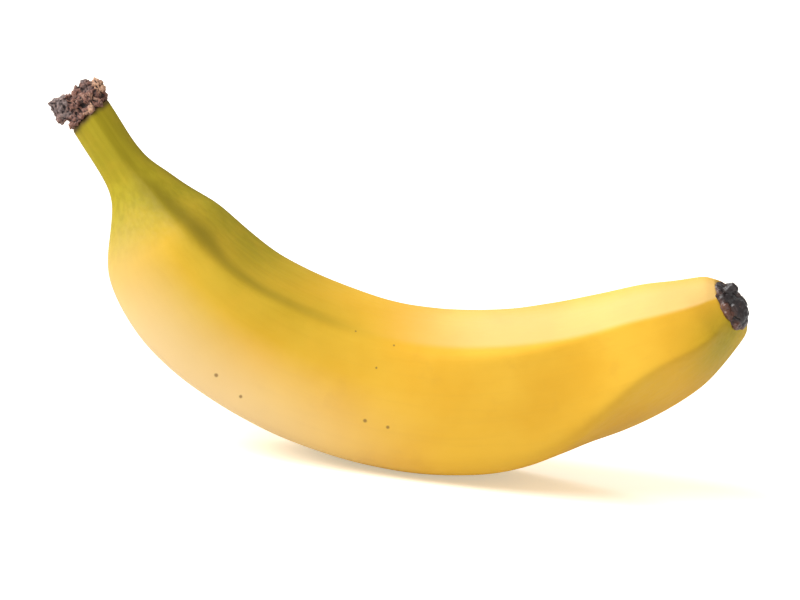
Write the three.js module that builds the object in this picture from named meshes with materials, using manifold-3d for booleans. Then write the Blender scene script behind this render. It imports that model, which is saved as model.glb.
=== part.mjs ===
// One ripe dessert banana, lying on the outside of its bend.
//
// Millimetres, +Z up. The origin is the middle of the small flat that the peel rests on. +X runs along
// the fruit towards its blossom end, and the fruit bends in the XZ plane with its hollow side up.
//
// The fruit is turned as a straight body of revolution, then each of its points is given the
// five-sided section and carried onto the bent spine. The torn crown and the dried blossom are lumps
// grown into its two ends, so the whole fruit is one solid.

import * as THREE from "three";
import { mergeVertices } from "three/addons/utils/BufferGeometryUtils.js";
import Module from "manifold-3d";

const wasm = await Module();
wasm.setup();

// The fruit's stretches, from the crown to the blossom end. Each has its length along the spine, how
// far it bends (degrees), and at its far end the fruit's height and how flat the faces of its section
// are (0 is round, 1 is a sharp pentagon).
const STALK = { length: 13, bend: 1, height: 11.6, flatness: 0.4 };
const THROAT = { length: 9, bend: -9, height: 17, flatness: 0.4 };
const NECK = { length: 13, bend: 6, height: 31, flatness: 0.35 };
const SHOULDER = { length: 27, bend: 27.5, height: 36.4, flatness: 0.5 };
const FORE_BELLY = { length: 32, bend: 18, height: 37.8, flatness: 0.6 };
const REAR_BELLY = { length: 32, bend: 21.5, height: 36.6, flatness: 0.6 };
const TAPER = { length: 38, bend: 20.5, height: 28, flatness: 0.6 };
const TIP = { length: 14.5, bend: 9.5, height: 16.4, flatness: 0.65 };
const CLOSURE = { length: 2, bend: 1, height: 12.4, flatness: 0.4 };
const STRETCHES = [STALK, THROAT, NECK, SHOULDER, FORE_BELLY, REAR_BELLY, TAPER, TIP, CLOSURE];

const CROWN_END_HEIGHT = 10.8; // the stalk's height where the crown tore off
const CROWN_END_FLATNESS = 0.3;
const STALK_HEADING = -50; // degrees above the horizontal that the spine sets off at
const DEPTH_PER_HEIGHT = 0.97; // the section is a little narrower than it is high
const REST_DEPTH = 0.4; // how much of the peel's lowest point is pressed flat

// The ridges between the five faces, in degrees round the section: 0 faces the viewer and 90 faces
// the hollow side of the bend. They sit further round on the stalk than on the body.
const RIDGES = [32, 96, 162, 228, 318];
const STALK_TWIST = -14;
const RIDGE_SHARPNESS = 10;

// Lumps of the torn crown and of the dried blossom. Each is placed from its end of the spine: along it
// (away from the fruit), up the section and towards the viewer, with its three half sizes in that order.
// All are shares of the fruit's height at that end, so the lumps fit the end that they grew on.
const CROWN_LUMPS = [
  { along: 0.13, up: 0, front: 0, half: [0.24, 0.53, 0.5] },
  { along: 0.4, up: -0.41, front: 0.09, half: [0.31, 0.27, 0.39] },
  { along: 0.43, up: 0.02, front: 0.05, half: [0.2, 0.2, 0.32] },
  { along: 0.5, up: 0.27, front: -0.07, half: [0.21, 0.16, 0.24] },
  { along: 0.4, up: 0.44, front: 0.1, half: [0.23, 0.17, 0.3] },
];
const BLOSSOM_LUMPS = [
  { along: -0.03, up: -0.18, front: 0.08, half: [0.24, 0.4, 0.36] },
  { along: 0.14, up: 0.18, front: 0.06, half: [0.14, 0.13, 0.14] },
];

const SEGMENTS_ROUND = 40;
const SEGMENTS_ALONG = 52;
const LUMP_DETAIL = 2;

const TWISTED_LENGTH = STALK.length + THROAT.length + NECK.length;
const FRUIT_LENGTH = STRETCHES.reduce((sum, stretch) => sum + stretch.length, 0);

// Where the spine is, and which way it heads, at a distance from the crown end. Each stretch is a
// circular arc, so its chord heads halfway between the directions at its two ends.
function spineAt(distance) {
  const place = { x: 0, z: 0, heading: THREE.MathUtils.degToRad(STALK_HEADING) };
  let left = distance;
  for (const stretch of STRETCHES) {
    const length = Math.min(left, stretch.length);
    const turn = THREE.MathUtils.degToRad(stretch.bend) * (length / stretch.length);
    const chord = turn === 0 ? length : length * Math.sin(turn / 2) / (turn / 2);
    place.x += chord * Math.cos(place.heading + turn / 2);
    place.z += chord * Math.sin(place.heading + turn / 2);
    place.heading += turn;
    left -= length;
  }
  return place;
}

// How far the section reaches at an angle (degrees), as a share of its reach along a ridge. The five
// faces are blended into one closed outline with softened ridges.
function sectionReach(angle, flatness) {
  let nearness = 0;
  for (let face = 0; face < RIDGES.length; face += 1) {
    const low = RIDGES[face];
    const high = face + 1 < RIDGES.length ? RIDGES[face + 1] : RIDGES[0] + 360;
    const halfFace = THREE.MathUtils.degToRad((high - low) / 2);
    const fromMiddle = THREE.MathUtils.degToRad(angle - (low + high) / 2);
    nearness += Math.max(0, Math.cos(fromMiddle) / Math.cos(halfFace)) ** RIDGE_SHARPNESS;
  }
  return 1 - flatness * (1 - nearness ** (-1 / RIDGE_SHARPNESS));
}

// The section as a ring of points, x towards the viewer and y up the section, centred and one high.
// It runs the same way round as the rings of a turned body, so the faces keep pointing out.
function sectionRing(flatness, twist) {
  const ring = [];
  for (let step = 0; step < SEGMENTS_ROUND; step += 1) {
    const angle = -360 * step / SEGMENTS_ROUND;
    const reach = sectionReach(angle - twist, flatness);
    const radians = THREE.MathUtils.degToRad(angle);
    ring.push(new THREE.Vector2(reach * Math.cos(radians), reach * Math.sin(radians)));
  }
  const box = new THREE.Box2().setFromPoints(ring);
  const size = box.getSize(new THREE.Vector2());
  const middle = box.getCenter(new THREE.Vector2());
  for (const point of ring) {
    point.sub(middle);
    point.set(point.x * DEPTH_PER_HEIGHT / size.x, point.y / size.y);
  }
  ring.push(ring[0]);
  return ring;
}

// The outline that the straight fruit is turned from. Each point holds the half height, the distance
// along the spine and the flatness.
function outline() {
  const stations = [new THREE.Vector3(CROWN_END_HEIGHT / 2, 0, CROWN_END_FLATNESS)];
  let distance = 0;
  for (const stretch of STRETCHES) {
    distance += stretch.length;
    stations.push(new THREE.Vector3(stretch.height / 2, distance, stretch.flatness));
  }
  return new THREE.CatmullRomCurve3(stations, false, "centripetal").getPoints(SEGMENTS_ALONG);
}

// The straight turned body, each ring of it reshaped to its section and carried onto the spine.
function fruitGeometry() {
  const stations = outline();
  const profile = stations.map((station) => new THREE.Vector2(station.x, station.y));
  profile.unshift(new THREE.Vector2(0, 0));
  profile.push(new THREE.Vector2(0, FRUIT_LENGTH));
  stations.unshift(stations[0]);
  stations.push(stations.at(-1));
  const geometry = new THREE.LatheGeometry(profile, SEGMENTS_ROUND);
  const position = geometry.getAttribute("position");
  for (let row = 0; row < profile.length; row += 1) {
    const height = 2 * profile[row].x;
    const place = spineAt(profile[row].y);
    const untwisted = THREE.MathUtils.smoothstep(profile[row].y, 0, TWISTED_LENGTH);
    const ring = sectionRing(stations[row].z, STALK_TWIST * (1 - untwisted));
    for (let step = 0; step <= SEGMENTS_ROUND; step += 1) {
      const up = height * ring[step].y;
      const x = place.x - up * Math.sin(place.heading);
      const z = place.z + up * Math.cos(place.heading);
      position.setXYZ(step * profile.length + row, x, -height * ring[step].x, z);
    }
  }
  return geometry;
}

// A lump on one end of the fruit. `outward` is -1 at the crown and 1 at the blossom end.
function lumpGeometry(lump, end, endHeight, outward) {
  const geometry = new THREE.IcosahedronGeometry(1, LUMP_DETAIL);
  geometry.scale(lump.half[0], lump.half[2], lump.half[1]);
  geometry.translate(lump.along * outward, -lump.front, lump.up);
  geometry.scale(endHeight, endHeight, endHeight);
  geometry.rotateY(-end.heading);
  geometry.translate(end.x, 0, end.z);
  return geometry;
}

function toSolid(geometry) {
  geometry.deleteAttribute("normal");
  geometry.deleteAttribute("uv");
  const merged = mergeVertices(geometry);
  const mesh = new wasm.Mesh({
    numProp: 3,
    vertProperties: Float32Array.from(merged.getAttribute("position").array),
    triVerts: Uint32Array.from(merged.getIndex().array),
  });
  return new wasm.Manifold(mesh);
}

function toGeometry(solid) {
  const mesh = solid.getMesh();
  const geometry = new THREE.BufferGeometry();
  geometry.setAttribute("position", new THREE.BufferAttribute(mesh.vertProperties, 3));
  geometry.setIndex(new THREE.BufferAttribute(mesh.triVerts, 1));
  return geometry;
}

// Presses the lowest part of the peel flat, and puts the middle of that flat at the origin.
function setDown(solid) {
  const whole = toGeometry(solid);
  whole.computeBoundingBox();
  const size = whole.boundingBox.getSize(new THREE.Vector3());
  const middle = whole.boundingBox.getCenter(new THREE.Vector3());
  const floorHeight = whole.boundingBox.min.z + REST_DEPTH;
  const floor = new THREE.BoxGeometry(2 * size.x, 2 * size.y, 2 * size.z);
  floor.translate(middle.x, middle.y, floorHeight - size.z);
  const geometry = toGeometry(solid.subtract(toSolid(floor)));
  geometry.translate(0, 0, -floorHeight);
  const flat = new THREE.Box3();
  const position = geometry.getAttribute("position");
  for (let i = 0; i < position.count; i += 1) {
    const point = new THREE.Vector3().fromBufferAttribute(position, i);
    if (Math.abs(point.z) < REST_DEPTH / 100) {
      flat.expandByPoint(point);
    }
  }
  const flatMiddle = flat.getCenter(new THREE.Vector3());
  geometry.translate(-flatMiddle.x, -flatMiddle.y, 0);
  return geometry;
}

function banana() {
  let solid = toSolid(fruitGeometry());
  for (const lump of CROWN_LUMPS) {
    solid = solid.add(toSolid(lumpGeometry(lump, spineAt(0), CROWN_END_HEIGHT, -1)));
  }
  for (const lump of BLOSSOM_LUMPS) {
    solid = solid.add(toSolid(lumpGeometry(lump, spineAt(FRUIT_LENGTH), CLOSURE.height, 1)));
  }
  const peel = new THREE.MeshStandardMaterial({ color: 0xeec04a, roughness: 0.45, metalness: 0 });
  const mesh = new THREE.Mesh(setDown(solid), peel);
  mesh.name = "banana";
  return mesh;
}

const model = new THREE.Group();
model.add(banana());

export default model;
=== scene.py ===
"""A ripe banana lying on the outside of its bend: the looks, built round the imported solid.

The peel is modelled straight along +X from the crown end, as a five-sided bar with a ring of points
at every cut, then each ring is rounded, sized and carried onto the bent spine. The torn crown and the
dried blossom are lumps fused and roughened at its two ends. Lengths are metres and angles degrees.
"""

import math
from collections import namedtuple

import bmesh
import bpy
from mathutils import Matrix, Vector


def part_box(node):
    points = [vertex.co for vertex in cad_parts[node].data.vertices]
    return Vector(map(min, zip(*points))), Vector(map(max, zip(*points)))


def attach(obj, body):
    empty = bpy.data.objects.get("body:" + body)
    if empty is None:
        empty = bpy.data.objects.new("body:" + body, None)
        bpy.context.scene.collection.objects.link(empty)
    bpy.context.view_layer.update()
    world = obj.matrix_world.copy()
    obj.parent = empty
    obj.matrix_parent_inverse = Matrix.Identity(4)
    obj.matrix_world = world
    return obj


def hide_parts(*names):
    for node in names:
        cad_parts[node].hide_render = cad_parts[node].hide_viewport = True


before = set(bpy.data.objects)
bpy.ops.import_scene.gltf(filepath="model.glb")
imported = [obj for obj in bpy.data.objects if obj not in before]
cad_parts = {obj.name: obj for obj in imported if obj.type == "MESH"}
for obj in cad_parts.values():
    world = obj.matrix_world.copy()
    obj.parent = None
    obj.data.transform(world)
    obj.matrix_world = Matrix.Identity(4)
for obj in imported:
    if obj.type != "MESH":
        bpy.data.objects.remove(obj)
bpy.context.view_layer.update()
banana_low, banana_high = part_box("banana")

MM = 0.001
SAME_PLACE = 0.01 * MM

# The fruit's stretches, from the crown to the blossom end: length along the spine, how far it bends,
# and at its far end the fruit's height, how far its middle stands above the spine and how flat its
# five faces are. Cuts is its number of rings.
Stretch = namedtuple("Stretch", "length bend height rise flatness cuts")
STALK = Stretch(length=0.0145, bend=1, height=0.0107, rise=0.0001, flatness=0.5, cuts=4)
THROAT = Stretch(length=0.0075, bend=-9, height=0.0163, rise=0.0012, flatness=0.65, cuts=3)
NECK = Stretch(length=0.013, bend=6, height=0.031, rise=0, flatness=0.7, cuts=4)
SHOULDER = Stretch(length=0.027, bend=27.5, height=0.0364, rise=0, flatness=0.7, cuts=6)
FORE_BELLY = Stretch(length=0.032, bend=18, height=0.0378, rise=0, flatness=0.65, cuts=6)
REAR_BELLY = Stretch(length=0.032, bend=21.5, height=0.0368, rise=0, flatness=0.7, cuts=6)
TAPER = Stretch(length=0.038, bend=20.5, height=0.0288, rise=-0.0004, flatness=0.8, cuts=8)
TIP = Stretch(length=0.0145, bend=9.5, height=0.0174, rise=-0.0006, flatness=0.8, cuts=5)
CLOSURE = Stretch(length=0.002, bend=1, height=0.013, rise=-0.0008, flatness=0.45, cuts=2)
STRETCHES = [STALK, THROAT, NECK, SHOULDER, FORE_BELLY, REAR_BELLY, TAPER, TIP, CLOSURE]
FRUIT_LENGTH = sum(stretch.length for stretch in STRETCHES)

# The section where the crown tore off. Every section is a little narrower than it is high, and the
# tip is narrower still.
CROWN_END_HEIGHT = 0.0104
CROWN_END_RISE = 0.0003
CROWN_END_FLATNESS = 0.4
DEPTH_PER_HEIGHT = 0.97
TIP_DEPTH_LOSS = 0.16

# Where the spine sets off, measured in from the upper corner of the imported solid, and its heading
# above the horizontal.
CROWN_INSET_ALONG = 0.00924
CROWN_INSET_DOWN = 0.00863
CROWN_END = Vector((banana_low.x + CROWN_INSET_ALONG, 0, banana_high.z - CROWN_INSET_DOWN))
STALK_HEADING = -50

# How the two end faces are turned: tilted so that their hollow side reaches further out, and at the
# blossom end also slanted towards the viewer. Each turn dies out over its reach from the end.
CROWN_END_TILT = 9
CROWN_END_REACH = 0.01
BLOSSOM_END_TILT = -7
BLOSSOM_END_SLANT = 25
BLOSSOM_END_REACH = 0.009
END_CREASE = 0.45

# The ridges between the five faces, in degrees round the section: 0 faces the viewer and 90 faces
# the hollow side of the bend. All sit further round on the stalk and turn back a little at the tip.
# Three of them have ways of their own.
RIDGES = [32, 96, 162, 228, 318]
FRONT_RIDGE = 0
UNDER_RIDGE = 3
LOW_RIDGE = 4
STALK_TWIST = -16
STALK_TWIST_END = 0.036
TIP_TWIST = -8
TIP_START = 0.153

# How far some ridges climb round the section, and the distances between which they do it: the front
# one along the neck, and the two lower ones towards the tip.
FRONT_RIDGE_CLIMB = 9
FRONT_CLIMB_START = 0.012
FRONT_CLIMB_END = 0.078
LOW_RIDGE_CLIMB = 42
UNDER_RIDGE_CLIMB = 20
CLIMB_START = 0.12
CLIMB_END = 0.163

# How crisp a ridge is over the belly, and what the neck and the tip add to that between their
# distances. The low ridge is there only where it climbs.
Crispness = namedtuple("Crispness", "belly neck tip")
FRONT_CRISPNESS = Crispness(belly=0.2, neck=0.1, tip=0.24)
OTHER_CRISPNESS = Crispness(belly=0.22, neck=0.12, tip=0.18)
LOW_CRISPNESS = 0.26
NECK_CRISP_GROWS = (0.008, 0.03)
NECK_CRISP_FADES = (0.07, 0.1)
TIP_CRISP_GROWS = (0.09, 0.125)

# How finely the faces and the whole peel are divided, and the peel's shallow dents.
FACE_CUTS = 3
SMOOTHING = 3
DENT_SIZE = 0.03
DENT_DEPTH = 0.0006


# ---------------------------------------------------------------- shape helpers

def eased(value, start, end):
    """0 before start, 1 after end, and a smooth step between."""
    share = min(1, max(0, (value - start) / (end - start)))
    return share * share * (3 - 2 * share)


def between(value, grows, fades):
    """0 before grows, 1 from its end until fades starts, and 0 again after that."""
    return eased(value, *grows) * (1 - eased(value, *fades))


def spine_at(distance):
    """Place and heading (radians) of the spine at a distance from the crown end."""
    place = CROWN_END.copy()
    heading = math.radians(STALK_HEADING)
    left = distance
    for stretch in STRETCHES:
        length = min(left, stretch.length)
        turn = math.radians(stretch.bend) * length / stretch.length
        chord = length * math.sin(turn / 2) / (turn / 2) if turn else length
        direction = heading + turn / 2
        place += chord * Vector((math.cos(direction), 0, math.sin(direction)))
        heading += turn
        left -= length
    return place, heading


def section_at(distance):
    """Height, rise and flatness of the section, on a smooth curve through the stretches' ends."""
    ends = [(0, CROWN_END_HEIGHT, CROWN_END_RISE, CROWN_END_FLATNESS)]
    for stretch in STRETCHES:
        ends.append((ends[-1][0] + stretch.length, stretch.height, stretch.rise, stretch.flatness))
    last = len(ends) - 1
    low = 0
    while low < last - 1 and distance > ends[low + 1][0]:
        low += 1

    def slope(index, field):
        before = ends[max(0, index - 1)]
        after = ends[min(last, index + 1)]
        return (after[field] - before[field]) / (after[0] - before[0])

    gap = ends[low + 1][0] - ends[low][0]
    t = (distance - ends[low][0]) / gap
    values = []
    for field in (1, 2, 3):
        start = (1 + 2 * t) * (1 - t) ** 2 * ends[low][field]
        end = t * t * (3 - 2 * t) * ends[low + 1][field]
        leave = t * (1 - t) ** 2 * gap * slope(low, field)
        arrive = t * t * (t - 1) * gap * slope(low + 1, field)
        values.append(start + end + leave + arrive)
    return values


def ring_distances():
    """Distance of every ring from the crown end."""
    distances = [0.0]
    start = 0.0
    for stretch in STRETCHES:
        for cut in range(1, stretch.cuts + 1):
            distances.append(start + stretch.length * cut / stretch.cuts)
        start += stretch.length
    return distances


def ridge_angle(ridge, distance):
    """Where a ridge sits round the section at a distance from the crown end, in degrees."""
    angle = RIDGES[ridge]
    angle += STALK_TWIST * (1 - eased(distance, 0, STALK_TWIST_END))
    angle += TIP_TWIST * eased(distance, TIP_START, FRUIT_LENGTH)
    if ridge == FRONT_RIDGE:
        angle += FRONT_RIDGE_CLIMB * eased(distance, FRONT_CLIMB_START, FRONT_CLIMB_END)
    if ridge == LOW_RIDGE:
        angle += LOW_RIDGE_CLIMB * eased(distance, CLIMB_START, CLIMB_END)
    if ridge == UNDER_RIDGE:
        angle += UNDER_RIDGE_CLIMB * eased(distance, CLIMB_START, CLIMB_END)
    return angle


def end_turns(distance):
    """How far a section is tilted and slanted (radians) because its end face is."""
    near_crown = 1 - eased(distance, 0, CROWN_END_REACH)
    near_blossom = eased(distance, FRUIT_LENGTH - BLOSSOM_END_REACH, FRUIT_LENGTH)
    tilt = math.radians(CROWN_END_TILT) * near_crown + math.radians(BLOSSOM_END_TILT) * near_blossom
    return tilt, math.radians(BLOSSOM_END_SLANT) * near_blossom


def ridge_sharpness(ridge, distance):
    """How crisp a ridge is: clear at the neck, soft over the belly and clearest towards the tip."""
    if ridge == LOW_RIDGE:
        return LOW_CRISPNESS * eased(distance, CLIMB_START, CLIMB_END)
    crispness = FRONT_CRISPNESS if ridge == FRONT_RIDGE else OTHER_CRISPNESS
    at_neck = between(distance, NECK_CRISP_GROWS, NECK_CRISP_FADES)
    at_tip = eased(distance, *TIP_CRISP_GROWS)
    return crispness.belly + crispness.neck * at_neck + crispness.tip * at_tip


# ---------------------------------------------------------------- modelling helpers

def start_fresh():
    """Goes to object mode with nothing selected."""
    if bpy.context.mode != "OBJECT":
        bpy.ops.object.mode_set(mode="OBJECT")
    bpy.ops.object.select_all(action="DESELECT")


def name_active(name):
    """Names the active object and its mesh, and gives the object."""
    piece = bpy.context.object
    piece.name = name
    piece.data.name = name
    return piece


def select_points(piece, chosen):
    """In edit mode, selects the points whose index is in chosen, and the edges and faces between."""
    bpy.ops.mesh.select_all(action="DESELECT")
    cage = bmesh.from_edit_mesh(piece.data)
    cage.verts.ensure_lookup_table()
    for index in chosen:
        cage.verts[index].select = True
    cage.select_flush(True)
    bmesh.update_edit_mesh(piece.data)


def select_edges(piece, wanted):
    """In edit mode, selects only the edges for which wanted(edge) is true."""
    bpy.ops.mesh.select_mode(type="EDGE")
    bpy.ops.mesh.select_all(action="DESELECT")
    cage = bmesh.from_edit_mesh(piece.data)
    for edge in cage.edges:
        edge.select_set(wanted(edge))
    bmesh.update_edit_mesh(piece.data)


def selected_places(piece):
    """In edit mode, where the selected points are."""
    cage = bmesh.from_edit_mesh(piece.data)
    return [point.co.copy() for point in cage.verts if point.select]


def smoothed_box(places):
    """Lowest and highest corner that a ring of points will have once it is smoothed."""
    middle = sum(places, Vector()) / len(places)
    ordered = sorted(places, key=lambda p: math.atan2(p.z - middle.z, p.y - middle.y))
    smoothed = []
    for index, place in enumerate(ordered):
        after = ordered[(index + 1) % len(ordered)]
        smoothed.append((ordered[index - 1] + 4 * place + after) / 6)
    low = Vector(min(p[axis] for p in smoothed) for axis in range(3))
    high = Vector(max(p[axis] for p in smoothed) for axis in range(3))
    return low, high


def apply_modifier(piece, kind, name, **settings):
    """Adds a modifier with its settings and applies it at once."""
    modifier = piece.modifiers.new(name, kind)
    for key, value in settings.items():
        setattr(modifier, key, value)
    bpy.context.view_layer.objects.active = piece
    bpy.ops.object.modifier_apply(modifier=modifier.name)


def roughen(piece, name, size, depth, **settings):
    """Pushes the surface in and out by cloudy noise of the given feature size and depth."""
    texture = bpy.data.textures.new(name, "CLOUDS")
    texture.noise_scale = size
    for key, value in settings.items():
        setattr(texture, key, value)
    apply_modifier(piece, "DISPLACE", name, texture=texture, strength=depth, texture_coords="LOCAL")


# ---------------------------------------------------------------- the peel

def straight_bar():
    """The five-sided bar, one pentagon at every ring's distance, each of its corners on a ridge."""
    start_fresh()
    bpy.ops.mesh.primitive_circle_add(vertices=len(RIDGES), radius=0.5, fill_type="NOTHING")
    peel = name_active("banana_peel")
    bpy.ops.object.mode_set(mode="EDIT")
    bpy.ops.mesh.select_all(action="SELECT")
    distances = ring_distances()
    corners = len(RIDGES)
    for ring, distance in enumerate(distances):
        if ring:
            bpy.ops.mesh.extrude_region_move()
        for ridge in range(corners):
            angle = math.radians(ridge_angle(ridge, distance))
            corner = Vector((distance, -math.cos(angle) / 2, math.sin(angle) / 2))
            select_points(peel, {ring * corners + ridge})
            bpy.ops.transform.translate(value=corner - selected_places(peel)[0])
        select_points(peel, range(ring * corners, (ring + 1) * corners))
    return peel, distances


def crease_ridges(peel, distances):
    """Makes each ridge as crisp as it is at that place."""
    corners = len(RIDGES)
    for ridge in range(corners):
        for ring in range(len(distances) - 1):
            select_points(peel, (ring * corners + ridge, (ring + 1) * corners + ridge))
            middle = (distances[ring] + distances[ring + 1]) / 2
            bpy.ops.transform.edge_crease(value=ridge_sharpness(ridge, middle))


def cut_faces(peel):
    """Cuts each long face of the bar into strips, so that it can be rounded."""
    select_edges(peel, lambda edge: abs(edge.verts[0].co.x - edge.verts[1].co.x) < SAME_PLACE)
    bpy.ops.mesh.subdivide(number_cuts=FACE_CUTS)
    bpy.ops.mesh.select_mode(type="VERT")


def rings_by_place(peel, distances):
    """The indexes of the points in each ring of the straight bar."""
    rings = [[] for _ in distances]
    for point in bmesh.from_edit_mesh(peel.data).verts:
        nearest = min(range(len(distances)), key=lambda ring: abs(distances[ring] - point.co.x))
        rings[nearest].append(point.index)
    return rings


def size_rings(peel, rings, distances):
    """Rounds every ring of the straight bar and gives it its height, depth and rise."""
    for ring, distance in zip(rings, distances):
        height, rise, flatness = section_at(distance)
        select_points(peel, ring)
        bpy.ops.transform.tosphere(value=1 - flatness)
        low, high = smoothed_box(selected_places(peel))
        middle = (low + high) / 2
        size = high - low
        narrowed = 1 - TIP_DEPTH_LOSS * eased(distance, TIP_START, FRUIT_LENGTH)
        share = (1, height * DEPTH_PER_HEIGHT * narrowed / size.y, height / size.z)
        bpy.ops.transform.resize(value=share, center_override=middle)
        bpy.ops.transform.translate(value=Vector((distance, 0, rise)) - middle)


def keep_straight_places(peel):
    """Keeps where each point is on the straight fruit, for the paint that follows its length."""
    bpy.ops.object.mode_set(mode="OBJECT")
    straight = peel.data.attributes.new("straight_place", "FLOAT_VECTOR", "POINT")
    for point in peel.data.vertices:
        straight.data[point.index].vector = point.co
    bpy.ops.object.mode_set(mode="EDIT")


def bend_rings(peel, rings, distances):
    """Carries every ring onto the bent spine, square to it except near the two end faces."""
    for ring, distance in zip(rings, distances):
        place, heading = spine_at(distance)
        tilt, slant = end_turns(distance)
        centre = Vector((distance, 0, 0))
        select_points(peel, ring)
        bpy.ops.transform.rotate(value=slant, orient_axis="Z", center_override=centre)
        bpy.ops.transform.rotate(value=heading + tilt, orient_axis="Y", center_override=centre)
        bpy.ops.transform.translate(value=place - centre)


def close_ends(peel, rings):
    """Closes the two end faces and keeps their rims a little crisp."""
    for ring in (rings[0], rings[-1]):
        select_points(peel, ring)
        bpy.ops.transform.edge_crease(value=END_CREASE)
        bpy.ops.mesh.extrude_region_move()
        bpy.ops.mesh.merge(type="CENTER")


def press_flat(piece):
    """Flattens whatever dips under the surface that the fruit rests on."""
    bpy.ops.object.mode_set(mode="EDIT")
    under = [point.index for point in bmesh.from_edit_mesh(piece.data).verts if point.co.z < 0]
    select_points(piece, under)
    bpy.ops.transform.resize(value=(1, 1, 0), center_override=(0, 0, 0))
    bpy.ops.object.mode_set(mode="OBJECT")


def build_peel():
    """The whole peel, from a straight bar to the painted and bent fruit."""
    peel, distances = straight_bar()
    crease_ridges(peel, distances)
    cut_faces(peel)
    rings = rings_by_place(peel, distances)
    size_rings(peel, rings, distances)
    keep_straight_places(peel)
    bend_rings(peel, rings, distances)
    close_ends(peel, rings)
    bpy.ops.mesh.select_all(action="SELECT")
    bpy.ops.mesh.normals_make_consistent(inside=False)
    bpy.ops.object.mode_set(mode="OBJECT")
    apply_modifier(peel, "SUBSURF", "smoothing", levels=SMOOTHING, render_levels=SMOOTHING)
    roughen(peel, "gentle_dents", DENT_SIZE, DENT_DEPTH)
    press_flat(peel)
    bpy.ops.object.shade_smooth()
    paint_peel(peel)
    return peel


def place_round(distance, angle):
    """The place on the straight fruit, as round as it is high, at a distance and an angle round it."""
    radius = section_at(distance)[0] / 2
    turned = math.radians(angle)
    return Vector((distance, -radius * math.cos(turned), radius * math.sin(turned)))


# ---------------------------------------------------------------- the peel's paint

# The ways that parts of the peel face, in degrees round the section like the ridges.
HOLLOW_SIDE = 100
UNDERSIDE = -62
OUTSIDE_OF_BEND = -77

# How green or pale each part is at most, and the distances from the crown end between which it grows
# or fades. Pale here is painted sheen: pale colour standing in for reflected light and glare, outside
# the bend below the neck and on the sunny face near the tip. The stalk's green goes on for a lag
# further on the side that faces away. A spread under 1 carries a colour further round the section, and
# one over 1 keeps it narrow. The sunny face starts with a step beside the front ridge and ends on the
# hollow side, in degrees.
STALK_GREEN_FADES = (0.022, 0.041)
STALK_GREEN_LAG = (0.004, 0.008)
# The neck's hollow side is painted green partly for its real unripe colour and partly as painted shade,
# as it is turned from the key light.
NECK_GREEN_AND_SHADE_SPREAD = 0.7
NECK_GREEN_AND_SHADE_FADES = (0.045, 0.092)
SHOULDER_GREEN = 0.36
SHOULDER_GREEN_FADES = (0.045, 0.08)
RIDGE_GREEN = 0.6
RIDGE_GREEN_WIDTH = 36
RIDGE_GREEN_FADES = (0.06, 0.105)
TIP_GREEN = 0.85
TIP_GREEN_GROWS = (FRUIT_LENGTH - 0.02, FRUIT_LENGTH - 0.005)
NECK_SHEEN_SPREAD = 1.3
NECK_SHEEN_GROWS = (0.02, 0.05)
NECK_SHEEN_FADES = (0.065, 0.115)
SUNNY_SHEEN = 0.42
SUNNY_SHEEN_GROWS = (0.085, 0.125)
SUNNY_FACE_STEP = (-3, 4)
SUNNY_FACE_ENDS = (70, 110)

# The dark line along each ridge. Where the neck widens, the front ridge's line is a broad and darker
# crease, this many degrees above the ridge.
RIDGE_LINE = 0.6
RIDGE_LINE_WIDTH = 0.0016
RIDGE_LINE_GROWS = (0.004, 0.02)
RIDGE_LINE_FADES = (0.055, 0.1)
CREASE_ABOVE_RIDGE = 6
CREASE_GROWS = (0.014, 0.026)
CREASE_FADES = (0.034, 0.05)


def facing(angle, direction):
    """How much the peel at an angle faces a direction, from 0 to 1."""
    return max(0, math.cos(math.radians(angle - direction)))


def greenness(distance, angle):
    """How unripe the peel is, most on the stalk, the neck and the underside of the tip. On the neck's
    hollow side the green is partly real and partly painted shade.
    """
    away = 1 - math.cos(math.radians(angle))
    fade_start = STALK_GREEN_FADES[0] + STALK_GREEN_LAG[0] * away
    fade_end = STALK_GREEN_FADES[1] + STALK_GREEN_LAG[1] * away
    stalk = 1 - eased(distance, fade_start, fade_end)
    # Real green and painted shade on the neck's hollow side.
    hollow_side = facing(angle, HOLLOW_SIDE) ** NECK_GREEN_AND_SHADE_SPREAD
    neck = hollow_side * (1 - eased(distance, *NECK_GREEN_AND_SHADE_FADES))
    shoulder = SHOULDER_GREEN * facing(angle, 0) * (1 - eased(distance, *SHOULDER_GREEN_FADES))
    from_ridge = (angle - ridge_angle(FRONT_RIDGE, distance)) / RIDGE_GREEN_WIDTH
    beside_ridge = RIDGE_GREEN * math.exp(-from_ridge ** 2) * (1 - eased(distance, *RIDGE_GREEN_FADES))
    tip = TIP_GREEN * facing(angle, UNDERSIDE) * eased(distance, *TIP_GREEN_GROWS)
    return max(stalk, neck, shoulder, beside_ridge, tip)


def paleness(distance, angle):
    """How much pale painted sheen the peel carries, standing in for reflected light: outside the bend
    below the neck, and on the sunny face near the tip.
    """
    outside = facing(angle, OUTSIDE_OF_BEND) ** NECK_SHEEN_SPREAD
    below_neck = outside * between(distance, NECK_SHEEN_GROWS, NECK_SHEEN_FADES)
    step = [ridge_angle(FRONT_RIDGE, distance) + away for away in SUNNY_FACE_STEP]
    sunny = between(angle, step, SUNNY_FACE_ENDS)
    return max(below_neck, SUNNY_SHEEN * sunny * eased(distance, *SUNNY_SHEEN_GROWS))


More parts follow.
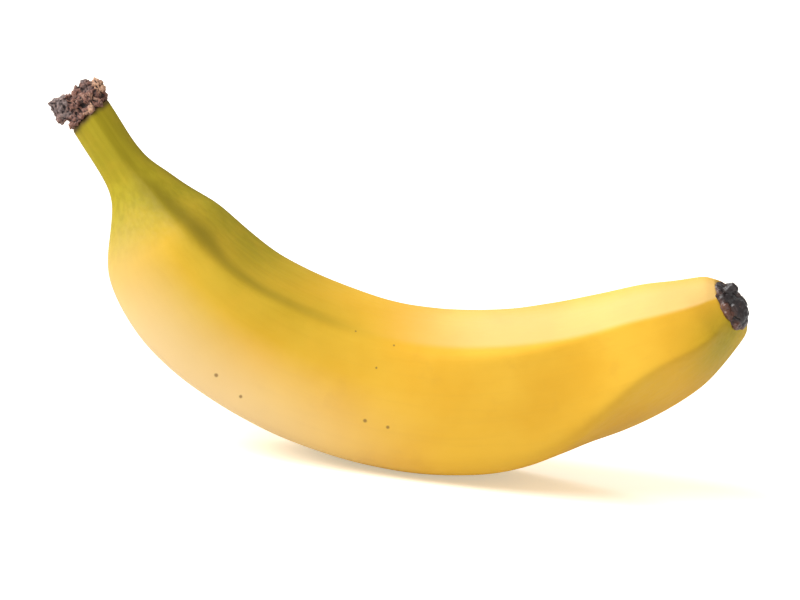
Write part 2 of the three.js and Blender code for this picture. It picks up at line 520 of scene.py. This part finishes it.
def ridge_line(distance, angle, radius):
    """How strongly the dark line of a ridge shows at a place. The low ridge has no line."""
    shown = between(distance, RIDGE_LINE_GROWS, RIDGE_LINE_FADES)
    crease = between(distance, CREASE_GROWS, CREASE_FADES)
    strength = shown * (RIDGE_LINE + (1 - RIDGE_LINE) * crease)
    strongest = 0
    for ridge in (ridge for ridge in range(len(RIDGES)) if ridge != LOW_RIDGE):
        middle = ridge_angle(ridge, distance)
        width = RIDGE_LINE_WIDTH
        if ridge == FRONT_RIDGE:
            middle += CREASE_ABOVE_RIDGE * crease
            width *= 1 + crease
        away = math.radians((angle - middle + 180) % 360 - 180) * radius
        strongest = max(strongest, strength * math.exp(-(away / width) ** 2))
    return strongest


def paint_peel(peel):
    """Paints where the peel is green, where it is pale with painted sheen standing in for reflected
    light, and where its ridges are, for the finish to read.

    Straight_place becomes the place on the straight fruit with its section rounded, which is where
    the finish puts its patterns.
    """
    for name in ("green", "pale", "ridge_line"):
        peel.data.attributes.new(name, "FLOAT", "POINT")
    straight = peel.data.attributes["straight_place"].data
    green = peel.data.attributes["green"].data
    pale = peel.data.attributes["pale"].data
    ridges = peel.data.attributes["ridge_line"].data
    for index in range(len(peel.data.vertices)):
        place = straight[index].vector
        angle = math.degrees(math.atan2(place.z, -place.y))
        green[index].value = greenness(place.x, angle)
        pale[index].value = paleness(place.x, angle)
        ridges[index].value = ridge_line(place.x, angle, math.hypot(place.y, place.z))
        straight[index].vector = place_round(place.x, angle)


# ---------------------------------------------------------------- the two dried ends

# A lump of a dried end, in millimetres from its end of the spine: outward (away from the fruit),
# front (towards the viewer) and up (towards the hollow side), with its half sizes in that order. Tone
# is 0 for grey, 0.5 for brown and 1 for tan. A boxy lump is a block, turned upwards by its turn.
Lump = namedtuple("Lump", "outward front up half tone boxy turn", defaults=(False, 0))
CROWN_LUMPS = [
    Lump(0.7, 0, 0.3, (2.1, 5.3, 5.7), 0.5),
    Lump(4.9, 1.2, -3.1, (3.0, 3.4, 2.4), 0.0, boxy=True, turn=20),
    Lump(3.4, -2.8, -2.4, (2.5, 2.4, 2.4), 0.4),
    Lump(3.6, 3.0, -0.2, (2.0, 1.9, 1.7), 0.5),
    Lump(5.0, 0.6, 1.5, (2.2, 2.3, 1.6), 0.5),
    Lump(5.7, 0.3, 4.1, (1.7, 1.9, 1.6), 0.1),
    Lump(3.4, 0.6, 3.6, (2.2, 2.6, 2.0), 0.5),
    Lump(2.8, 3.0, 2.9, (2.1, 2.0, 1.6), 0.6),
    Lump(3.6, 1.2, 6.3, (2.2, 2.0, 1.7), 1.0),
    Lump(2.6, -2.8, 3.8, (2.0, 2.2, 2.2), 0.6),
    Lump(0.8, 4.4, -3.2, (1.1, 1.0, 1.6), 0.7),
    Lump(0.8, 4.9, -0.4, (1.0, 0.9, 1.3), 0.55),
    Lump(1.0, 4.7, 2.2, (1.1, 0.9, 1.2), 0.85),
    Lump(1.0, -4.6, 1.4, (1.1, 1.0, 2.2), 0.6),
]
BLOSSOM_LUMPS = [
    Lump(-0.2, 0.2, -1.0, (1.9, 5.1, 6.1), 0.4),
    Lump(1.4, 0.9, -2.7, (1.9, 2.8, 3.6), 0.0),
    Lump(1.0, -2.4, -1.9, (1.6, 2.3, 2.8), 0.2),
    Lump(1.3, 1.6, 0.9, (1.4, 1.6, 1.6), 0.5),
    Lump(2.5, 0.8, 2.5, (1.7, 1.7, 1.7), 0.0),
    Lump(0.3, 3.0, -4.7, (1.2, 1.6, 1.7), 1.0),
    Lump(0.3, 0.6, -6.0, (1.3, 2.2, 1.3), 0.8),
    Lump(0.3, 4.3, -1.2, (1.1, 1.2, 2.2), 0.9),
]

# How fine the fused skins are, how much of its smallest half size a boxy lump's edges are rounded by,
# and how quickly a lump's tone gives way to its neighbours'.
CROWN_GRAIN = 0.2 * MM
BLOSSOM_GRAIN = 0.16 * MM
BOX_ROUNDING = 0.25
TONE_FALLOFF = 6


def fuse_lumps(name, lumps, grain):
    """Lumps fused into one closed skin, still at the origin: outward is +X and up is +Z."""
    start_fresh()
    parts = []
    for lump in lumps:
        place = Vector((lump.outward, -lump.front, lump.up)) * MM
        half = Vector(lump.half) * MM
        if lump.boxy:
            turn = (0, math.radians(-lump.turn), 0)
            bpy.ops.mesh.primitive_cube_add(size=2, location=place, rotation=turn, scale=half)
            bpy.ops.object.mode_set(mode="EDIT")
            bpy.ops.mesh.bevel(offset=min(half) * BOX_ROUNDING, segments=3)
            bpy.ops.object.mode_set(mode="OBJECT")
        else:
            bpy.ops.mesh.primitive_ico_sphere_add(subdivisions=4, radius=1, location=place, scale=half)
        parts.append(bpy.context.object)
    for part in parts:
        part.select_set(True)
    bpy.ops.object.join()
    piece = name_active(name)
    bpy.ops.object.transform_apply(location=True, rotation=True, scale=True)
    apply_modifier(piece, "REMESH", "fused", mode="VOXEL", voxel_size=grain)
    apply_modifier(piece, "SMOOTH", "softened", factor=0.5, iterations=4)
    return piece


def tone_by_lump(piece, lumps):
    """Gives every point the tone of the lumps that it lies nearest to."""
    tones = piece.data.attributes.new("lump_tone", "FLOAT", "POINT")
    for point in piece.data.vertices:
        total = 0.0
        weights = 0.0
        for lump in lumps:
            away = point.co / MM - Vector((lump.outward, -lump.front, lump.up))
            depth = math.hypot(*(away[axis] / lump.half[axis] for axis in range(3)))
            total += lump.tone / depth ** TONE_FALLOFF
            weights += 1 / depth ** TONE_FALLOFF
        tones.data[point.index].value = total / weights


def shade_hollows(piece):
    """Keeps how deep in a hollow each corner lies as the piece's hollows attribute. The finishes paint
    shade into the hollows by it.
    """
    hollows = piece.data.color_attributes.new("hollows", "BYTE_COLOR", "CORNER")
    piece.data.color_attributes.active_color = hollows
    bpy.ops.object.mode_set(mode="VERTEX_PAINT")
    bpy.ops.paint.vertex_color_dirt(blur_strength=0.6, blur_iterations=1, clean_angle=math.radians(130),
                                    dirt_angle=math.radians(50), normalize=True)
    bpy.ops.object.mode_set(mode="OBJECT")


def set_at_end(piece, distance, outward):
    """Carries a dried end from the origin to its end of the spine. Outward is -1 at the crown."""
    place, heading = spine_at(distance)
    tilt, slant = end_turns(distance)
    if outward < 0:
        bpy.ops.object.mode_set(mode="EDIT")
        bpy.ops.mesh.select_all(action="SELECT")
        bpy.ops.transform.mirror(constraint_axis=(True, False, False), center_override=(0, 0, 0))
        bpy.ops.mesh.flip_normals()
        bpy.ops.object.mode_set(mode="OBJECT")
    turned = Matrix.Rotation(-heading - tilt, 4, "Y") @ Matrix.Rotation(-slant, 4, "Z")
    piece.matrix_world = Matrix.Translation(place) @ turned
    bpy.ops.object.transform_apply(location=True, rotation=True, scale=True)
    bpy.ops.object.shade_smooth()


def build_crown():
    crown = fuse_lumps("crown_remnant", CROWN_LUMPS, CROWN_GRAIN)
    tone_by_lump(crown, CROWN_LUMPS)
    roughen(crown, "torn_chunks", 1.9 * MM, 1.7 * MM, noise_type="HARD_NOISE", noise_depth=2)
    roughen(crown, "torn_fibres", 0.7 * MM, 0.45 * MM, noise_depth=2)
    apply_modifier(crown, "SMOOTH", "dried", factor=0.5, iterations=1)
    shade_hollows(crown)
    set_at_end(crown, 0, -1)
    return crown


def build_blossom():
    blossom = fuse_lumps("blossom_remnant", BLOSSOM_LUMPS, BLOSSOM_GRAIN)
    tone_by_lump(blossom, BLOSSOM_LUMPS)
    roughen(blossom, "shrivelled_folds", 2.0 * MM, 1.4 * MM, noise_depth=1)
    roughen(blossom, "shrivelled_skin", 0.7 * MM, 0.25 * MM, noise_depth=1)
    apply_modifier(blossom, "SMOOTH", "dried", factor=0.5, iterations=2)
    shade_hollows(blossom)
    set_at_end(blossom, FRUIT_LENGTH, 1)
    return blossom


# ---------------------------------------------------------------- finishes

# Most of a noise lies between these two values.
NOISE_LOW = 0.3
NOISE_HIGH = 0.7

# The peel's colours, as linear red, green, blue and alpha.
RIPE = (0.80, 0.43, 0.025, 1)
RIPE_LIGHT = (0.86, 0.50, 0.04, 1)
RIPE_FIBRE = (0.72, 0.39, 0.03, 1)
RIPE_BLOTCH = (0.72, 0.38, 0.03, 1)
UNRIPE = (0.37, 0.29, 0.007, 1)
UNRIPE_LIGHT = (0.43, 0.34, 0.012, 1)
RIDGE_OLIVE = (0.23, 0.17, 0.003, 1)
SCORCHED_EDGE = (0.07, 0.035, 0.015, 1)
# Pale painted sheen, standing in for reflected light and glare.
PAINTED_SHEEN = (0.88, 0.65, 0.35, 1)
SPECK_BROWN = (0.2, 0.1, 0.03, 1)

# The torn crown's.
CORK_GREY = (0.22, 0.165, 0.155, 1)
CORK_BROWN = (0.24, 0.105, 0.075, 1)
CORK_TAN = (0.58, 0.33, 0.2, 1)
CORK_FIBRE = (0.55, 0.35, 0.28, 1)
CORK_RIM = (0.04, 0.022, 0.02, 1)
# Painted shade for the crown's hollows.
CORK_PAINTED_SHADE = (0.02, 0.011, 0.011, 1)
CORK_PIT = (0.05, 0.02, 0.02, 1)

# The dried blossom's.
BLOSSOM_BLACK = (0.02, 0.013, 0.013, 1)
BLOSSOM_BROWN = (0.13, 0.05, 0.03, 1)
# Greyer colour for the blossom's raised parts.
BLOSSOM_RAISED_GREY = (0.1, 0.07, 0.065, 1)
# Painted shade for the blossom's hollows.
BLOSSOM_PAINTED_SHADE = (0.008, 0.005, 0.005, 1)
BLOSSOM_CRUMB = (0.22, 0.12, 0.09, 1)


# How many features of each noise fit in a metre. The fibres are drawn out along the fruit.
PEEL_CLOUDS = 55.0
PEEL_BLOTCHES = 130.0
PEEL_FIBRES = (45.0, 900.0, 900.0)
PEEL_PORES = 1300.0
PORE_STRETCH = (0.35, 1.0, 1.0)
CROWN_CHUNKS = 420.0
CROWN_FIBRES = 1400.0
CROWN_PORES = 1600.0
BLOSSOM_PATCHES = 300.0
BLOSSOM_PORES = 2000.0

# Where the peel is scorched beside the crown, and how ragged that edge is.
SCORCH_START = 1.2 * MM
SCORCH_END = 2.8 * MM
SCORCH_RAGGED = 2.0 * MM


class Nodes:
    """Short ways to add nodes to a tree. A value for an input is a number, a colour or a socket."""

    def __init__(self, tree):
        self.tree = tree

    def add(self, kind, values=None, **settings):
        node = self.tree.nodes.new(kind)
        for key, value in settings.items():
            setattr(node, key, value)
        for key, value in (values or {}).items():
            self.feed(node.inputs[key], value)
        return node

    def feed(self, socket, value):
        if isinstance(value, bpy.types.NodeSocket):
            self.tree.links.new(value, socket)
        else:
            socket.default_value = value

    def math(self, operation, first, second):
        return self.add("ShaderNodeMath", {0: first, 1: second}, operation=operation).outputs[0]

    def spread(self, value, low, high, to_low=0.0, to_high=1.0):
        """Eases a value between low and high to between to_low and to_high."""
        values = {"Value": value, "From Min": low, "From Max": high, "To Min": to_low, "To Max": to_high}
        return self.add("ShaderNodeMapRange", values, interpolation_type="SMOOTHSTEP").outputs["Result"]

    def blend(self, share, under, over):
        values = {"Factor": share, 6: under, 7: over}
        return self.add("ShaderNodeMix", values, data_type="RGBA").outputs[2]

    def noise(self, place, scale, detail, roughness=0.5):
        values = {"Vector": place, "Scale": scale, "Detail": detail, "Roughness": roughness}
        return self.add("ShaderNodeTexNoise", values).outputs["Fac"]

    def stretch(self, place, scale):
        return self.add("ShaderNodeMapping", {"Vector": place, "Scale": scale}).outputs["Vector"]

    def painted(self, name, output="Fac"):
        return self.add("ShaderNodeAttribute", attribute_name=name).outputs[output]

    def bump(self, height, depth, normal=None):
        values = {"Height": height, "Distance": depth, "Strength": 1.0}
        if normal:
            values["Normal"] = normal
        return self.add("ShaderNodeBump", values).outputs["Normal"]

    def place_group(self, group, values):
        """Places a shader group with its own values and gives its outputs."""
        return self.add("ShaderNodeGroup", values, node_tree=group).outputs


def new_group(name, inputs, outputs):
    """An empty shader group with named sockets: name -> (socket type, default or None)."""
    group = bpy.data.node_groups.new(name, "ShaderNodeTree")
    for in_out, sockets in (("INPUT", inputs), ("OUTPUT", outputs)):
        for socket_name, (kind, default) in sockets.items():
            socket = group.interface.new_socket(socket_name, in_out=in_out, socket_type=kind)
            if default is not None:
                socket.default_value = default
    nodes = Nodes(group)
    return group, nodes, nodes.add("NodeGroupInput"), nodes.add("NodeGroupOutput")


def build_speck_group():
    """The mask of scattered round specks: how many per metre, the share shown, and their size.

    They are 0.4 to 1.4 times that size, and solid over the inner 0.4 of it.
    """
    inputs = {"Vector": ("NodeSocketVector", None), "Per Metre": ("NodeSocketFloat", 100.0),
              "Share": ("NodeSocketFloat", 0.2), "Size": ("NodeSocketFloat", 0.1)}
    outputs = {"Mask": ("NodeSocketFloat", None)}
    group, nodes, given, result = new_group("scattered_specks", inputs, outputs)
    values = {"Vector": given.outputs["Vector"], "Scale": given.outputs["Per Metre"]}
    cells = nodes.add("ShaderNodeTexVoronoi", values)
    picked = nodes.add("ShaderNodeSeparateColor", {0: cells.outputs["Color"]}).outputs
    chosen = nodes.math("LESS_THAN", picked[0], given.outputs["Share"])
    size = nodes.math("MULTIPLY", given.outputs["Size"], nodes.math("ADD", picked[1], 0.4))
    inner = nodes.math("MULTIPLY", size, 0.4)
    dot = nodes.spread(cells.outputs["Distance"], inner, size, 1.0, 0.0)
    nodes.feed(result.inputs["Mask"], nodes.math("MULTIPLY", dot, chosen))
    return group


def build_skin_group():
    """The fine relief of plant skin: its pores and small creases as a height, and a tone."""
    inputs = {"Vector": ("NodeSocketVector", None), "Per Metre": ("NodeSocketFloat", 1500.0)}
    outputs = {"Height": ("NodeSocketFloat", None), "Tone": ("NodeSocketFloat", None)}
    group, nodes, given, result = new_group("plant_skin", inputs, outputs)
    place = given.outputs["Vector"]
    scale = given.outputs["Per Metre"]
    creases = nodes.noise(place, scale, 4.0, 0.6)
    pores = nodes.add("ShaderNodeTexVoronoi", {"Vector": place, "Scale": scale}, feature="SMOOTH_F1")
    deep = nodes.math("MULTIPLY", creases, 0.7)
    shallow = nodes.math("MULTIPLY", pores.outputs[0], 0.3)
    nodes.feed(result.inputs["Height"], nodes.math("ADD", deep, shallow))
    nodes.feed(result.inputs["Tone"], creases)
    return group


def new_material(name, base_color, roughness):
    """A material with its plain colour and roughness, for views that don't read its nodes."""
    material = bpy.data.materials.new(name)
    material.use_nodes = True
    shader = material.node_tree.nodes["Principled BSDF"]
    shader.inputs["Base Color"].default_value = (*base_color, 1)
    shader.inputs["Roughness"].default_value = roughness
    return material, Nodes(material.node_tree), shader


def lay_skin(nodes, shader, skin_group, place, per_metre, roughness, depth, normal=None):
    """Gives a finish its fine relief and the uneven roughness that goes with it."""
    skin = nodes.place_group(skin_group, {"Vector": place, "Per Metre": per_metre})
    uneven = nodes.spread(skin["Tone"], NOISE_LOW, NOISE_HIGH, *roughness)
    nodes.feed(shader.inputs["Roughness"], uneven)
    nodes.feed(shader.inputs["Normal"], nodes.bump(skin["Height"], depth, normal))


# The larger brown specks: how far along the fruit, how far round it in degrees, and how wide. Each
# is darkest over its core and gone at its edge, both as shares of its width.
Speck = namedtuple("Speck", "along round width")
SPECKS = [
    Speck(0.061, -31, 0.0009),
    Speck(0.0675, -34, 0.0008),
    Speck(0.0935, -18, 0.001),
    Speck(0.0985, -19, 0.0009),
    Speck(0.093, 20, 0.0006),
    Speck(0.0855, 40, 0.0006),
    Speck(0.096, 37, 0.0006),
    Speck(0.074, -58, 0.0009),
    Speck(0.121, -60, 0.001),
    Speck(0.113, 140, 0.0012),
    Speck(0.07, 175, 0.0011),
    Speck(0.131, 200, 0.0012),
    Speck(0.088, 235, 0.0009),
]
SPECK_CORE = 0.2
SPECK_EDGE = 0.6


def speck_mask(nodes, straight):
    """A round mask at every larger speck, on the section's outline at its place."""
    mask = 0.0
    for speck in SPECKS:
        values = {0: straight, 1: place_round(speck.along, speck.round)}
        away = nodes.add("ShaderNodeVectorMath", values, operation="DISTANCE").outputs["Value"]
        dot = nodes.spread(away, speck.width * SPECK_CORE, speck.width * SPECK_EDGE, 1.0, 0.0)
        mask = nodes.math("MAXIMUM", mask, dot)
    return mask


def peel_finish(speck_group, skin_group):
    """Waxy peel, ripe or unripe as painted, with fibres, blotches, ridge lines, brown specks and pale
    painted sheen.
    """
    material, nodes, shader = new_material("ripe_peel", (0.8, 0.45, 0.03), 0.5)
    shader.inputs["Specular IOR Level"].default_value = 0.25
    straight = nodes.painted("straight_place", "Vector")

    cloudy = nodes.noise(straight, PEEL_CLOUDS, 3.0)
    fibres = nodes.noise(nodes.stretch(straight, PEEL_FIBRES), 1.0, 3.0)
    blotches = nodes.noise(straight, PEEL_BLOTCHES, 4.0, 0.6)
    ripe = nodes.blend(nodes.spread(cloudy, NOISE_LOW, NOISE_HIGH), RIPE, RIPE_LIGHT)
    ripe = nodes.blend(nodes.spread(fibres, 0.45, 0.75, 0.0, 0.15), ripe, RIPE_FIBRE)
    ripe = nodes.blend(nodes.spread(blotches, 0.58, 0.75, 0.0, 0.3), ripe, RIPE_BLOTCH)
    unripe = nodes.blend(nodes.spread(fibres, NOISE_LOW, NOISE_HIGH), UNRIPE, UNRIPE_LIGHT)
    patchy = nodes.spread(blotches, 0.2, 0.6, 0.8, 1.0)
    color = nodes.blend(nodes.math("MULTIPLY", nodes.painted("green"), patchy), ripe, unripe)
    color = nodes.blend(nodes.math("MULTIPLY", nodes.painted("ridge_line"), 0.8), color, RIDGE_OLIVE)

    along = nodes.add("ShaderNodeSeparateXYZ", {0: straight}).outputs["X"]
    ragged = nodes.math("ADD", along, nodes.math("MULTIPLY", blotches, SCORCH_RAGGED))
    scorched = nodes.spread(ragged, SCORCH_START, SCORCH_END, 1.0, 0.0)
    color = nodes.blend(nodes.math("MULTIPLY", scorched, 0.85), color, SCORCHED_EDGE)
    # Painted sheen: pale colour for reflected light outside the bend and on the sunny face.
    color = nodes.blend(nodes.painted("pale"), color, PAINTED_SHEEN)

    values = {"Vector": straight, "Per Metre": 120.0, "Share": 0.16, "Size": 0.035}
    small = nodes.math("MULTIPLY", nodes.place_group(speck_group, values)["Mask"], 0.5)
    specks = nodes.math("MAXIMUM", speck_mask(nodes, straight), small)
    color = nodes.blend(nodes.math("MULTIPLY", specks, 0.75), color, SPECK_BROWN)
    nodes.feed(shader.inputs["Base Color"], color)

    grain = nodes.math("ADD", fibres, nodes.math("MULTIPLY", blotches, 0.6))
    normal = nodes.bump(grain, 0.025 * MM)
    place = nodes.stretch(straight, PORE_STRETCH)
    lay_skin(nodes, shader, skin_group, place, PEEL_PORES, (0.52, 0.66), 0.03 * MM, normal)
    return material


def crown_finish(speck_group, skin_group):
    """Dry torn cork: grey, brown or tan by its lumps, with painted shade in its hollows, with pits and
    fibres.
    """
    material, nodes, shader = new_material("torn_crown", (0.15, 0.09, 0.07), 0.8)
    place = nodes.add("ShaderNodeTexCoord").outputs["Object"]
    hollows = nodes.add("ShaderNodeSeparateColor", {0: nodes.painted("hollows", "Color")}).outputs[0]
    tone = nodes.painted("lump_tone")
    chunks = nodes.noise(place, CROWN_CHUNKS, 4.0, 0.6)
    fibres = nodes.noise(place, CROWN_FIBRES, 4.0, 0.65)
    patchy = nodes.math("ADD", tone, nodes.spread(chunks, NOISE_LOW, NOISE_HIGH, -0.3, 0.3))
    dry = nodes.blend(nodes.spread(patchy, 0.0, 0.5), CORK_GREY, CORK_BROWN)
    dry = nodes.blend(nodes.spread(patchy, 0.55, 1.05), dry, CORK_TAN)
    dry = nodes.blend(nodes.spread(fibres, 0.5, 0.68, 0.0, 0.6), dry, CORK_FIBRE)
    grey = nodes.spread(tone, 0.1, 0.3, 0.8, 0.0)
    rim = nodes.math("MULTIPLY", nodes.spread(hollows, 0.72, 0.86), grey)
    dry = nodes.blend(rim, dry, CORK_RIM)
    # Painted shade: near black deep in the hollows.
    color = nodes.blend(nodes.spread(hollows, 0.34, 0.62, 1.0, 0.0), dry, CORK_PAINTED_SHADE)

    values = {"Vector": place, "Per Metre": 700.0, "Share": 0.3, "Size": 0.4}
    pits = nodes.math("MULTIPLY", nodes.place_group(speck_group, values)["Mask"], 0.7)
    nodes.feed(shader.inputs["Base Color"], nodes.blend(pits, color, CORK_PIT))
    lay_skin(nodes, shader, skin_group, place, CROWN_PORES, (0.6, 0.9), 0.2 * MM)
    return material


def blossom_finish(speck_group, skin_group):
    """Shrivelled blossom: near black with brown patches, greyer on its raised parts, painted shade in
    its hollows and a thin dull shine.
    """
    material, nodes, shader = new_material("dried_blossom", (0.035, 0.02, 0.018), 0.4)
    shader.inputs["Coat Weight"].default_value = 0.25
    shader.inputs["Coat Roughness"].default_value = 0.3
    place = nodes.add("ShaderNodeTexCoord").outputs["Object"]
    hollows = nodes.add("ShaderNodeSeparateColor", {0: nodes.painted("hollows", "Color")}).outputs[0]
    patches = nodes.spread(nodes.noise(place, BLOSSOM_PATCHES, 3.0), NOISE_LOW, NOISE_HIGH, -0.3, 0.3)
    patchy = nodes.math("ADD", nodes.painted("lump_tone"), patches)
    dry = nodes.blend(nodes.spread(patchy, 0.2, 0.9), BLOSSOM_BLACK, BLOSSOM_BROWN)
    # Greyer over the raised parts.
    dry = nodes.blend(nodes.spread(hollows, 0.6, 0.95, 0.0, 0.4), dry, BLOSSOM_RAISED_GREY)
    # Painted shade: near black deep in the hollows.
    color = nodes.blend(nodes.spread(hollows, 0.2, 0.5, 1.0, 0.0), dry, BLOSSOM_PAINTED_SHADE)

    values = {"Vector": place, "Per Metre": 900.0, "Share": 0.15, "Size": 0.35}
    crumbs = nodes.math("MULTIPLY", nodes.place_group(speck_group, values)["Mask"], 0.5)
    nodes.feed(shader.inputs["Base Color"], nodes.blend(crumbs, color, BLOSSOM_CRUMB))
    lay_skin(nodes, shader, skin_group, place, BLOSSOM_PORES, (0.28, 0.55), 0.1 * MM)
    return material


# ---------------------------------------------------------------- studio

# The floor shows paler than it bounces light, with a faint warm glow of its own.
FLOOR_SIZE = 60
FLOOR_SHADE = 0.9
FLOOR_BOUNCE = 0.8
FLOOR_GLOW = 0.55
WARM_GLOW = (1, 0.86, 0.62, 1)
ROOM_WHITE = (1, 1, 1, 1)
WORLD_STRENGTH = 0.42

# The lights: where each stands seen from the fruit, how strong it is, and its apparent width.
StudioLight = namedtuple("StudioLight", "name stands strength spread")
LIGHTS = [
    StudioLight("key_light", Vector((-0.68, -0.34, 0.66)), 3.4, 44),
    StudioLight("sheen_light", Vector((-0.4, 0.7, 0.6)), 1.0, 30),
]

# The camera: a long lens that looks a little past the middle of the fruit, in metres and degrees.
CAMERA_LENS = 100
SENSOR_WIDTH = 36
CAMERA_DISTANCE = 0.5155
CAMERA_ELEVATION = 10
CAMERA_ROLL = 7.5
AIM_FROM_MIDDLE = Vector((0.0024, 0.0006, -0.0016))


def build_floor():
    """A pale table whose glow and extra paleness only the camera sees."""
    bpy.ops.mesh.primitive_plane_add(size=FLOOR_SIZE)
    floor = name_active("studio_floor")
    white, nodes, table = new_material("studio_white", (FLOOR_SHADE, FLOOR_SHADE, FLOOR_SHADE), 0.9)
    seen = nodes.add("ShaderNodeLightPath").outputs["Is Camera Ray"]
    shade = nodes.spread(seen, 0.0, 1.0, FLOOR_BOUNCE, FLOOR_SHADE)
    color = nodes.add("ShaderNodeCombineColor", {0: shade, 1: shade, 2: shade}).outputs[0]
    nodes.feed(table.inputs["Base Color"], color)
    nodes.feed(table.inputs["Emission Strength"], nodes.math("MULTIPLY", seen, FLOOR_GLOW))
    table.inputs["Emission Color"].default_value = WARM_GLOW
    table.inputs["Specular IOR Level"].default_value = 0
    floor.data.materials.append(white)


def build_room():
    """A room that looks white and lights the fruit softly from all round."""
    world = bpy.data.worlds.new("studio")
    world.use_nodes = True
    nodes = Nodes(world.node_tree)
    room = world.node_tree.nodes["Background"]
    room.inputs["Color"].default_value = ROOM_WHITE
    seen = nodes.add("ShaderNodeLightPath").outputs["Is Camera Ray"]
    nodes.feed(room.inputs["Strength"], nodes.math("MAXIMUM", seen, WORLD_STRENGTH))
    bpy.context.scene.world = world


def build_lights():
    """A large soft key from the upper left and a sheen from behind."""
    for light in LIGHTS:
        lamp = bpy.data.lights.new(light.name, "SUN")
        lamp.energy = light.strength
        lamp.angle = math.radians(light.spread)
        lamp_object = bpy.data.objects.new(light.name, lamp)
        bpy.context.scene.collection.objects.link(lamp_object)
        lamp_object.rotation_euler = (-light.stands).to_track_quat("-Z", "Y").to_euler()


def build_studio():
    start_fresh()
    build_floor()
    build_room()
    build_lights()


def build_camera():
    camera = bpy.data.cameras.new("camera")
    camera.lens = CAMERA_LENS
    camera.sensor_width = SENSOR_WIDTH
    camera_object = bpy.data.objects.new("camera", camera)
    bpy.context.scene.collection.objects.link(camera_object)
    elevation = math.radians(CAMERA_ELEVATION)
    looking = Vector((0, math.cos(elevation), -math.sin(elevation)))
    aim = (banana_low + banana_high) / 2 + AIM_FROM_MIDDLE
    camera_object.location = aim - looking * CAMERA_DISTANCE
    tilt = Matrix.Rotation(math.radians(90) - elevation, 3, "X")
    roll = Matrix.Rotation(math.radians(CAMERA_ROLL), 3, "Z")
    camera_object.rotation_euler = (tilt @ roll).to_euler()
    bpy.context.scene.camera = camera_object
    bpy.context.scene.view_settings.view_transform = "Standard"


build_camera()
build_studio()
specks = build_speck_group()
skin = build_skin_group()
for piece, finish, slot in (
    (build_peel(), peel_finish(specks, skin), "peel"),
    (build_crown(), crown_finish(specks, skin), "crown"),
    (build_blossom(), blossom_finish(specks, skin), "blossom"),
):
    piece.data.materials.append(finish)
    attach(piece, "root")
    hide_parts("banana")
